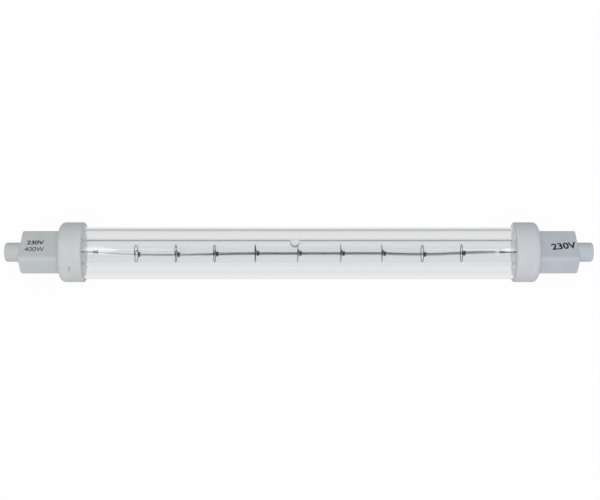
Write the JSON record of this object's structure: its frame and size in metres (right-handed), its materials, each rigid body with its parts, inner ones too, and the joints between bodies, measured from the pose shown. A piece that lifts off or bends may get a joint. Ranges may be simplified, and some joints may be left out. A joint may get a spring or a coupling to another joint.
{
  "type": "infrared heat lamp",
  "caption": "Straight double-ended halogen heat lamp: coiled filament in a quartz tube, clear quartz jacket, round ceramic collars and recessed end contacts.",
  "frame": {"origin": "the centre of the lamp, on its axis", "axes": "+X along the lamp, +Z square to the wide flats of the contact caps and pointing up as it lies on its collars"},
  "size_m": [0.22, 0.0224, 0.0224],
  "materials": {
    "jacket_quartz": "clear, polished",
    "tube_quartz": "clear, polished",
    "tungsten": "dark drawn wire",
    "collar_ceramic": "unglazed, fine pressed",
    "cap_ceramic": "unglazed, fine pressed",
    "contact_metal": "plated, satin",
    "cement": "rough, set",
    "molybdenum": "satin"
  },
  "bodies": {
    "root": {"outer_jacket": "jacket_quartz", "inner_envelope": "tube_quartz", "filament": "tungsten", "filament_support_1": "tungsten", "filament_support_2": "tungsten", "filament_support_3": "tungsten", "filament_support_4": "tungsten", "filament_support_5": "tungsten", "filament_support_6": "tungsten", "filament_support_7": "tungsten", "filament_support_8": "tungsten", "filament_support_9": "tungsten", "left_collar": "collar_ceramic", "right_collar": "collar_ceramic", "left_contact_cap": "cap_ceramic", "right_contact_cap": "cap_ceramic", "left_contact": "contact_metal", "right_contact": "contact_metal", "left_cement": "cement", "right_cement": "cement", "left_foil": "molybdenum", "right_foil": "molybdenum", "left_inner_lead": "molybdenum", "right_inner_lead": "molybdenum", "left_outer_lead": "contact_metal", "right_outer_lead": "contact_metal", "left_crimp_sleeve": "molybdenum", "right_crimp_sleeve": "molybdenum"}
  },
  "joints": []
}
